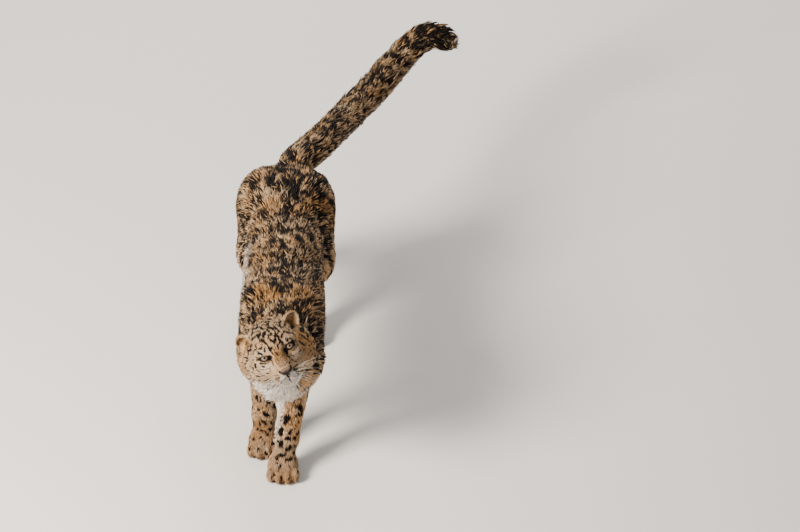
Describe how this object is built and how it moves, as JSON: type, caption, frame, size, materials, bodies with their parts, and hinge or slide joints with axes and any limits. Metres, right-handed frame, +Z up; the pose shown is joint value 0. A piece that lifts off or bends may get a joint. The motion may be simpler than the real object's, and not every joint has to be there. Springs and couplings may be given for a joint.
{
  "type": "snow leopard",
  "caption": "Life-size still model of a walking snow leopard with its head raised and tilted, long thick spotted coat and heavy tail swept back to one side.",
  "frame": {"origin": "middle of the left forepaw's flat sole, on the floor", "axes": "the animal faces -Y, +X is its left, +Z is up, and the tail runs back along +Y"},
  "size_m": [0.6031, 1.6642, 0.5419],
  "materials": {
    "coat": "long soft buff fur with dark broken rosettes and spots",
    "eye": "glossy pale green-grey iris with a dark rim",
    "nose": "fine-grained damp nose leather"
  },
  "bodies": {
    "root": {"head": "coat", "neck": "coat", "torso": "coat", "ear_left": "coat", "ear_right": "coat", "eye_left": "eye", "eye_right": "eye", "nose": "nose", "foreleg_upper_left": "coat", "foreleg_upper_right": "coat", "foreleg_lower_left": "coat", "foreleg_lower_right": "coat", "forepaw_left": "coat", "forepaw_right": "coat", "hind_leg_upper_left": "coat", "hind_leg_upper_right": "coat", "hind_leg_lower_left": "coat", "hind_leg_lower_right": "coat", "hindpaw_left": "coat", "hindpaw_right": "coat", "tail_1": "coat", "tail_2": "coat", "tail_3": "coat", "tail_4": "coat"}
  },
  "joints": []
}
